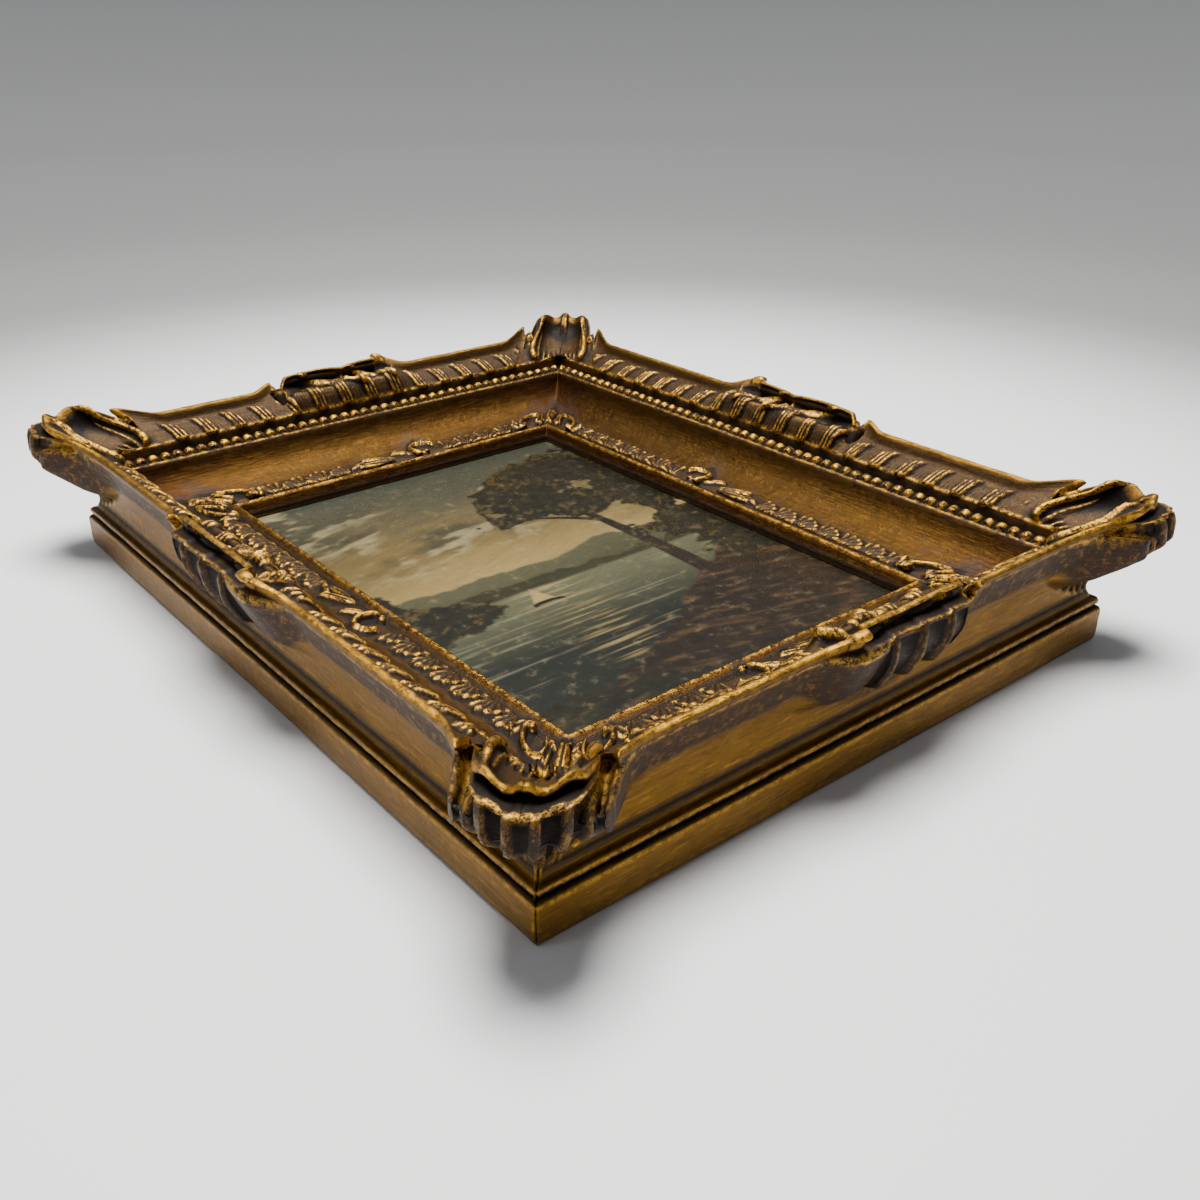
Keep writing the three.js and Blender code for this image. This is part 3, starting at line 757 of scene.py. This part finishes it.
def gilding():
    """Aged gold leaf: streaked along the rail, worn bright on its edges, dark in its hollows; painted
    highlights on the edges, painted shade in the hollows and over the rails' insides.
    """
    n = Nodes("aged_gilding")
    rail = n.attribute("rail", vector=True)
    place = n.add("ShaderNodeTexCoord").outputs["Object"]
    fine, broad, back = n.attribute("fine"), n.attribute("broad"), n.attribute("back")
    streaks = n.noise(rail, 1.0, 8.0, 0.70, (0.09, 1.7, 0))
    blotch = n.noise(rail, 0.5, 6.0, 0.72, (0.25, 1.6, 0))
    grain = n.noise(rail, 1.0, 6.0, 0.6, (0.02, 1.2, 0))
    specks = n.noise(place, 1600.0, 4.0, 0.65, shift=(31, 7, 0))
    grit = n.noise(place, 2600.0, 3.0, 0.7, shift=(3, 61, 0))
    scuffs = n.noise(place, 500.0, 8.0, 0.75, shift=(5, 90, 0))

    # The leaf, then what was laid over it or shows through it.
    colour = n.blend(n.ramp(streaks, 0.18, 0.66), GOLD_DEEP, GOLD)
    colour = n.blend(n.times(n.ramp(blotch, 0.52, 0.66), 0.22), colour, GOLD_PALE)
    copper = n.times(n.attribute("copper"), n.ramp(streaks, 0.70, 0.42))
    colour = n.blend(copper, colour, COPPER)
    wash = n.times(n.attribute("wash"), n.ramp(scuffs, 0.66, 0.50))
    colour = n.blend(n.times(wash, 0.92), colour, n.blend(n.ramp(scuffs, 0.42, 0.60), WASH, WASH_WARM))
    carved = n.times(n.attribute("carved"), n.ramp(grit, 0.75, 0.35))
    colour = n.blend(n.times(carved, 0.95), colour, BROWN)
    bole = n.times(n.ramp(specks, 0.60, 0.66), 0.75)
    colour = n.blend(bole, colour, BOLE)

    # Dark wax and painted shade in the hollows, worn leaf and a painted highlight where it stands proud.
    hollow = n.plus(n.ramp(broad, -0.08, -0.6), n.ramp(fine, -0.02, -0.14), clamp=True)
    hollow = n.most(n.times(hollow, n.ramp(grit, 0.2, 0.45)), n.attribute("groove"))
    colour = n.blend(n.times(hollow, 0.95), colour, WAX_AND_SHADE)
    # Painted highlight, with the worn leaf: proud carving and edges turn pale gold.
    proud = n.plus(n.ramp(fine, 0.06, 0.24), n.times(n.ramp(broad, 0.45, 1.3), 0.6), clamp=True)
    proud = n.times(proud, n.rest(n.times(n.attribute("dull"), 0.85)))
    patchy = n.ramp(n.plus(scuffs, n.times(grit, 0.5)), 0.68, 0.82)
    rubbed_and_highlit = n.times(n.times(n.most(proud, n.attribute("edge")), patchy), n.rest(back))
    colour = n.blend(n.times(rubbed_and_highlit, 0.9), colour, GOLD_PALE)

    # Painted shade: the moulding's inside is darkened towards dark brown, less where the leaf is scuffed or
    # worn.
    painted_inner_shade = n.times(n.attribute("inner_shade"), n.ramp(n.plus(scuffs, rubbed_and_highlit), 1.3, 0.3))
    colour = n.blend(n.times(painted_inner_shade, 0.70), colour, WAX_AND_SHADE)
    bare = n.blend(n.ramp(grain, 0.3, 0.7), BARE_WOOD, tuple(c * 0.62 for c in BARE_WOOD))
    n.put(n.shader.inputs["Base Color"], n.blend(back, colour, bare))

    dull = n.most(n.times(wash, 0.8), hollow)
    dull = n.most(dull, n.times(carved, 0.8))
    dull = n.most(dull, n.times(bole, 0.8))
    dull = n.most(n.times(dull, n.rest(rubbed_and_highlit)), back)
    n.put(n.shader.inputs["Metallic"], n.math("SUBTRACT", 0.96, n.times(dull, 0.9), clamp=True))
    rough = n.plus(0.20, n.times(scuffs, 0.26))
    n.put(n.shader.inputs["Roughness"], n.plus(rough, n.times(dull, 0.22)))
    n.put(n.shader.inputs["Specular IOR Level"], n.math("SUBTRACT", 0.5, n.times(dull, 0.36)))
    relief = n.plus(n.times(streaks, 0.6), n.times(scuffs, 0.8))
    normal = n.bump(relief, 0.7, 0.0005)
    n.put(n.shader.inputs["Normal"], n.bump(grit, 0.45, 0.0003, normal))
    return n.material


# ---------------- the painting

class Canvas:
    """A landscape in old varnished colours, worked out on a grid of points, bottom row first."""

    def __init__(self, columns, rows):
        self.u, self.v = np.meshgrid(np.linspace(0, 1, columns), np.linspace(0, 1, rows))
        self.x, self.y = self.u * 5.0, self.v * 7.0  # inches, so that marks are the same size both ways
        self.colour = np.zeros(self.u.shape + (3,))
        self.body = np.zeros(self.u.shape)  # thickness of the paint

    def lay(self, mask, colour, body=0.0):
        """Paints a colour, or a pair of colours and the share of the second, through a mask."""
        if len(colour) == 2:
            pair, share = colour
            colour = mix(np.array(pair[0]), np.array(pair[1]), share[..., None])
        mask = np.clip(mask, 0, 1)
        self.colour = mix(self.colour, np.array(colour), mask[..., None])
        self.body = np.maximum(self.body * (1 - 0.5 * mask), body * mask)

    def strokes(self, seed, angle, length, width):
        """Streaky noise in 0..1 whose marks run at an angle, in degrees."""
        a = math.radians(angle)
        along = self.x * math.cos(a) + self.y * math.sin(a)
        across = -self.x * math.sin(a) + self.y * math.cos(a)
        return fractal(along / length + 9, across / width + 4, seed, 3)

    def cloudiness(self, seed, scale):
        return fractal(self.x / scale + 3, self.y / (scale * 0.6) + 8, seed, 5)

    def crowns(self, blobs, seed, ragged=0.22):
        """A mass of foliage: round crowns with ragged edges. Gives how deep inside each point is."""
        edge = ragged * (fractal(self.x / 0.16, self.y / 0.14, seed, 4) - 0.5)
        edge = edge + 1.6 * ragged * (fractal(self.x / 0.7, self.y / 0.6, seed + 5, 3) - 0.5)
        depth = np.full(self.u.shape, -9.0)
        for x, y, wide, tall in blobs:
            inside = 1 - np.hypot((self.x - x) / wide, (self.y - y) / tall)
            depth = np.maximum(depth, inside * min(wide, tall) + edge)
        return depth

    def line(self, x0, y0, x1, y1, start, end, sag=0.0):
        """The mask of one tapering stroke."""
        length = math.hypot(x1 - x0, y1 - y0)
        ux, uy = (x1 - x0) / length, (y1 - y0) / length
        t = ((self.x - x0) * ux + (self.y - y0) * uy) / length
        off = -(self.x - x0) * uy + (self.y - y0) * ux + sag * np.sin(np.pi * np.clip(t, 0, 1))
        width = mix(start, end, np.clip(t, 0, 1))
        return ease((width - np.abs(off)) / 0.02 + 0.5) * (t > 0) * (t < 1)


SKY_HIGH, SKY_MID, SKY_LOW = srgb(84, 88, 72), srgb(148, 124, 70), srgb(196, 168, 104)
CLOUD_DARK, CLOUD_LIT = srgb(70, 72, 54), srgb(196, 180, 132)
HILL_FAR, HILL_NEAR = srgb(100, 98, 68), srgb(70, 68, 40)
LAKE_FAR, LAKE_NEAR, GLINT = srgb(112, 112, 82), srgb(36, 40, 31), srgb(150, 150, 120)
LEAF_DARK, LEAF_MID, LEAF_LIT = srgb(24, 23, 13), srgb(48, 46, 24), srgb(104, 84, 40)
EARTH_DARK, EARTH_MID, EARTH_LIT = srgb(22, 17, 10), srgb(58, 42, 24), srgb(104, 78, 44)
HORIZON = 3.05  # inches above the picture's lower edge


def paint_sky(c):
    x, y = c.x, c.y
    wisps = c.strokes(40, 12, 0.9, 0.14)
    c.lay(np.ones_like(x), ((SKY_LOW, SKY_MID), ease((y - 3.3 + 0.8 * wisps) / 2.0)))
    c.lay(ease((y - 4.7 + 0.9 * wisps) / 2.2), SKY_HIGH)
    clouds = c.cloudiness(50, 1.9) + 0.12 * (c.strokes(52, 18, 0.5, 0.1) - 0.5)
    c.lay(0.85 * ease((clouds - 0.50) / 0.16) * ease((y - 3.6) / 0.8), CLOUD_DARK, 0.2)
    lit = np.roll(clouds, (-6, 5), (0, 1)) - clouds
    tops = ease((lit - 0.004) / 0.05) * ease((clouds - 0.44) / 0.1) * ease((y - 3.5) / 0.6)
    c.lay(0.8 * tops, CLOUD_LIT, 0.5)
    c.lay(0.5 * ease((1.3 - np.hypot((x - 1.9) / 1.5, (y - 3.6) / 0.8))), SKY_LOW, 0.3)


def paint_hills(c):
    x, y = c.x, c.y
    far = HORIZON + 0.42 + 0.5 * (fractal(x / 1.1 + 2, x * 0, 61, 4) - 0.4)
    c.lay(ease((far - y) / 0.05), ((HILL_FAR, HILL_NEAR), ease((far - y) / 0.9)))
    near = HORIZON + 0.12 + 0.35 * (fractal(x / 0.6 + 7, x * 0, 63, 4) - 0.4) * (0.4 + x / 3)
    c.lay(ease((near - y) / 0.04), ((HILL_NEAR, LEAF_MID), c.strokes(64, 4, 0.3, 0.05)))


def paint_water(c):
    x, y = c.x, c.y
    water = ease((HORIZON - 0.05 - y) / 0.06)
    c.lay(water, ((LAKE_FAR, LAKE_NEAR), ease((HORIZON - y) / 1.5)))
    ripple = c.strokes(70, 0, 0.9, 0.035)
    waves = 0.55 * water * ease((ripple - 0.56) / 0.14) * ease((HORIZON - y) / 0.5)
    c.lay(waves, ((LAKE_FAR, LAKE_NEAR), ease((HORIZON - y) / 2.2)))
    c.lay(0.45 * water * ease((ripple - 0.66) / 0.14) * ease((y - 0.7) / 0.7), GLINT, 0.3)
    c.lay(water * 0.6 * ease((0.7 - np.abs(x - 1.9)) / 0.7) * ease((ripple - 0.5) / 0.2), SKY_LOW, 0.2)


def paint_boat(c):
    """A hull and one three-cornered sail."""
    x, y = c.x, c.y
    c.lay(c.line(1.55, 2.62, 1.95, 2.60, 0.035, 0.03, -0.03), EARTH_DARK, 0.3)
    foot, head = 2.66, 3.02
    half = 0.17 * (head - y) / 0.38
    sail = ease((half - np.abs(x - 1.72 - 0.06 * (y - 2.6))) / 0.03) * (y > foot) * (y < head)
    c.lay(sail, SKY_LOW, 0.6)


def paint_banks(c):
    x, y = c.x, c.y
    bushes = ease(c.crowns([(0.1, 2.9, 0.9, 0.5), (0.75, 2.75, 0.6, 0.3), (0.0, 3.4, 0.5, 0.55)], 80) / 0.05)
    light = c.strokes(82, 35, 0.14, 0.06)
    c.lay(bushes, ((LEAF_DARK, LEAF_MID), light), 0.3)
    c.lay(0.8 * bushes * ease((light - 0.62) / 0.1), LEAF_LIT, 0.6)
    top = 1.95 + 0.55 * (x - 3.2) + 0.4 * (fractal(x / 0.5, x * 0 + 3, 90, 4) - 0.5)
    bank = ease((top - y) / 0.06)
    earth = c.strokes(92, -14, 0.35, 0.09)
    c.lay(bank, ((EARTH_DARK, EARTH_MID), earth), 0.2)
    c.lay(0.6 * bank * ease((earth - 0.56) / 0.24), EARTH_LIT, 0.5)


def paint_trees(c):
    bark = c.strokes(95, 80, 0.4, 0.05)
    for foot, top, thick in ((3.7, 5.2, 0.13), (4.35, 5.6, 0.10), (4.75, 4.9, 0.09)):
        lean = 0.35 * (foot - 4.2)
        trunk = c.line(foot, 2.1, foot + lean, top, thick, 0.035, 0.06)
        c.lay(trunk, ((EARTH_DARK, EARTH_MID), bark), 0.4)
    for branch in (
        (3.65, 4.0, 2.7, 4.7), (3.6, 4.5, 3.0, 5.35), (4.3, 4.4, 3.7, 5.5), (4.4, 4.9, 4.9, 5.9),
    ):
        c.lay(c.line(*branch, 0.05, 0.012, 0.08), EARTH_DARK, 0.3)
    depth = c.crowns([
        (3.5, 5.15, 0.95, 0.6), (4.3, 5.75, 0.95, 0.7), (4.8, 4.6, 0.8, 0.9), (2.75, 4.75, 0.6, 0.3),
        (4.0, 4.6, 0.7, 0.45), (4.6, 3.4, 0.75, 0.5), (3.3, 5.7, 0.5, 0.3), (4.9, 2.7, 0.8, 0.5),
    ], 100, 0.34)
    crown = ease(depth / 0.04)
    dabs = c.strokes(102, 50, 0.11, 0.05)
    c.lay(crown, ((LEAF_DARK, LEAF_MID), dabs), 0.4)
    c.lay(0.85 * crown * ease((dabs - 0.60) / 0.1) * ease((0.4 - depth) / 0.3), LEAF_LIT, 0.7)


def paint_foreground(c):
    x, y = c.x, c.y
    top = 0.55 + 0.35 * np.sin(x * 1.3 + 0.6) + 0.35 * (fractal(x / 0.4, x * 0 + 8, 110, 4) - 0.5)
    near = ease((top - y) / 0.06)
    soil = c.strokes(112, 8, 0.4, 0.07)
    c.lay(near, ((EARTH_DARK, LEAF_MID), soil), 0.2)
    c.lay(0.5 * near * ease((soil - 0.56) / 0.24), EARTH_LIT, 0.4)


def landscape(columns, rows):
    """Evening over a river: a wooded bank right, a low one left, hills behind and a sail between."""
    c = Canvas(columns, rows)
    for paint in paint_sky, paint_hills, paint_water, paint_boat, paint_banks, paint_trees, paint_foreground:
        paint(c)
    hair = c.strokes(120, 20, 0.25, 0.018)
    deep = mix(0.42, 0.34, ease((c.y - 2.6) / 2.0))  # darker all over, and darker still towards the top
    c.colour = (deep * (0.84 + 0.32 * hair))[..., None] * c.colour
    return c


PAINT_GRID = (236, 330)  # points across and up the panel's face
PAINT_RELIEF = 0.09  # the paint's greatest thickness, in mm
PAINT_SUNK = 0.1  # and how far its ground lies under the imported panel's face


def panel_object():
    """The painted panel: its face is a fine grid that carries the paint, its other sides are plain."""
    columns, rows = PAINT_GRID
    low, high = np.array(PANEL[0]), np.array(PANEL[1])
    canvas = landscape(columns, rows)
    body = fractal(canvas.x / 0.05, canvas.y / 0.04, 130, 3) * (0.4 + canvas.body)
    rise = PAINT_RELIEF * MM * np.clip(body, 0, 1) - PAINT_SUNK * MM
    rise[0] = rise[-1] = rise[:, 0] = rise[:, -1] = -PAINT_SUNK * MM
    x, y = low[0] + canvas.u * (high[0] - low[0]), low[1] + canvas.v * (high[1] - low[1])
    top = np.stack([x, y, high[2] + rise], -1).reshape(-1, 3)
    faces = grid_faces(rows, columns)[:, ::-1].tolist()
    rim = list(range(columns)) + [i * columns + columns - 1 for i in range(1, rows)]
    rim += [rows * columns - 1 - i for i in range(1, columns)] + [i * columns for i in range(rows - 2, 0, -1)]
    count = len(top)
    bottom = top[rim].copy()
    bottom[:, 2] = low[2]
    around = range(len(rim))
    sides = [[rim[(i + 1) % len(rim)], rim[i], count + i, count + (i + 1) % len(rim)] for i in around]
    faces += sides + [[count + i for i in reversed(around)]]
    points = np.concatenate([top, bottom])
    paint = np.concatenate([canvas.colour.reshape(-1, 3), np.tile(BARE_WOOD, (len(rim), 1))])
    face = np.concatenate([np.ones(count), np.zeros(len(rim))])
    piece = mesh_object("painted_panel", points.tolist(), faces, {"paint": paint, "face": face})
    for polygon in piece.data.polygons[-len(sides) - 1:]:
        polygon.use_smooth = False
    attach(piece, "root")
    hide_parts("picture_panel")
    piece.data.materials.append(oil_paint())
    return piece


VARNISH_DARK, VARNISH_PALE, VARNISH_YELLOW = (0.02, 0.018, 0.01), srgb(214, 190, 130), srgb(120, 92, 40)


def oil_paint():
    """Varnished oil paint on the face, with fine brush hair and a little yellowing, and bare board behind."""
    n = Nodes("varnished_oil_paint")
    place = n.add("ShaderNodeTexCoord").outputs["Object"]
    hair = n.noise(place, 900.0, 3.0, 0.6, (1, 2.5, 1))
    dabs = n.noise(place, 260.0, 4.0, 0.6)
    yellow = n.noise(place, 22.0, 3.0, 0.5)
    paint = n.attribute("paint", vector=True)
    colour = n.blend(n.times(n.ramp(hair, 0.35, 0.75), 0.20), paint, VARNISH_DARK)
    colour = n.blend(n.times(n.ramp(dabs, 0.55, 0.8), 0.10), colour, VARNISH_PALE)
    colour = n.blend(n.times(n.ramp(yellow, 0.35, 0.75), 0.16), colour, VARNISH_YELLOW, "MULTIPLY")
    wood = n.noise(place, 60.0, 5.0, 0.6, (0.15, 6, 1))
    board = n.blend(n.ramp(wood, 0.3, 0.7), srgb(128, 98, 66), srgb(96, 70, 44))
    face = n.attribute("face")
    n.put(n.shader.inputs["Base Color"], n.blend(face, board, colour))
    rough = n.plus(0.20, n.times(dabs, 0.16))
    n.put(n.shader.inputs["Roughness"], n.plus(rough, n.times(n.rest(face), 0.4)))
    n.put(n.shader.inputs["Normal"], n.bump(n.plus(hair, dabs), 0.35, 0.00008))
    return n.material


# ---------------- camera, light and floor

LENS = 36.79  # mm, on a sensor 36 mm wide
CAMERA_PLACE = (-0.2007, -0.2671, 0.1653)  # metres from the middle of the frame's back
CAMERA_TARGET = (0.0054, -0.0147, 0.0)


def camera():
    """The view from beyond the picture's lower left corner, from a little above."""
    data = bpy.data.cameras.new("camera")
    data.lens, data.sensor_width = LENS, 36.0
    data.clip_start, data.clip_end = 0.01, 50.0
    lens = bpy.data.objects.new("camera", data)
    bpy.context.scene.collection.objects.link(lens)
    place, target = CENTRE + Vector(CAMERA_PLACE), CENTRE + Vector(CAMERA_TARGET)
    lens.location = place
    lens.rotation_mode = "QUATERNION"
    lens.rotation_quaternion = (target - place).to_track_quat("-Z", "Y")
    bpy.context.scene.camera = lens


def area_light(name, offset, size, power, colour):
    data = bpy.data.lights.new(name, "AREA")
    data.shape, data.size, data.energy, data.color = "DISK", size, power, colour
    light = bpy.data.objects.new(name, data)
    bpy.context.scene.collection.objects.link(light)
    light.location = CENTRE + Vector(offset)
    light.rotation_euler = (CENTRE - light.location).to_track_quat("-Z", "Y").to_euler()


# How much light the floor throws back, round the frame, beyond it and high on its sweep: painted shade
# darkens it beyond the frame, and it is painted lighter again up the sweep, where less light reaches.
FLOOR_NEAR, FLOOR_MIDDLE, FLOOR_FAR = 0.76, 0.235, 0.52
FLOOR_FLAT = 1.2  # metres from the frame to where the floor begins to sweep up
FLOOR_REACH = 2.6


def studio():
    """A floor that sweeps up into a backdrop all round, under soft light from above: pale round the frame,
    with painted shade beyond it and painted light up the sweep.
    """
    world = bpy.data.worlds.new("soft_sky")
    world.use_nodes = True
    sky = world.node_tree.nodes["Background"]
    sky.inputs["Color"].default_value = (0.82, 0.86, 0.92, 1)
    sky.inputs["Strength"].default_value = 0.27
    bpy.context.scene.world = world
    area_light("overhead", (0.05, 0.10, 0.95), 0.6, 30.5, (1.0, 0.98, 0.95))
    area_light("window", (-1.1, 0.2, 0.7), 0.4, 1.8, (0.95, 0.98, 1.0))

    rings, sectors = 64, 96
    radius = np.concatenate([np.linspace(0.0, FLOOR_FLAT, 41), np.linspace(1.25, FLOOR_REACH, rings - 41)])
    lift = np.clip(radius - FLOOR_FLAT, 0, None) ** 2 * 0.55
    angle = np.arange(sectors) * 2 * np.pi / sectors
    up = np.repeat(lift[:, None], sectors, 1)
    points = np.stack([radius[:, None] * np.cos(angle), radius[:, None] * np.sin(angle), up], -1)
    points = points.reshape(-1, 3) + np.array(CENTRE)
    # Painted shade and light on the floor: darker beyond the frame, lighter again up the sweep.
    tone = mix(FLOOR_NEAR, FLOOR_MIDDLE, ease((radius - 0.20) / 0.26))
    tone = mix(tone, FLOOR_FAR, ease((radius - 0.6) / 0.8))
    tone = np.repeat(tone[:, None], sectors, 1).ravel()
    faces = grid_faces(rings, sectors, closed=True)
    floor = mesh_object("floor", points.tolist(), faces.tolist(), {"tone": tone})
    n = Nodes("pale_floor")
    mottle = n.noise(n.add("ShaderNodeTexCoord").outputs["Object"], 6.0, 3.0)
    pale = n.blend(mottle, (0.97, 0.98, 0.985), (1.0, 1.0, 1.0))
    n.put(n.shader.inputs["Base Color"], n.blend(n.attribute("tone"), (0.0, 0.0, 0.0), pale))
    n.shader.inputs["Roughness"].default_value = 0.55
    floor.data.materials.append(n.material)


# ---------------- the whole

camera()
studio()
gold = gilding()
RAILS = (
    ("carved_rail_bottom", "bottom_rail", BASE_WIDTH, BASE_HEIGHT, SHORT_SHELL_HALF, 1, 0.0),
    ("carved_rail_right", "right_rail", BASE_HEIGHT, BASE_WIDTH, LONG_SHELL_HALF, -1, math.pi / 2),
    ("carved_rail_top", "top_rail", BASE_WIDTH, BASE_HEIGHT, SHORT_SHELL_HALF, 1, math.pi),
    ("carved_rail_left", "left_rail", BASE_HEIGHT, BASE_WIDTH, LONG_SHELL_HALF, -1, -math.pi / 2),
)
for seed, row in enumerate(RAILS, 1):
    rail_object(*row, seed).data.materials.append(gold)
panel_object()
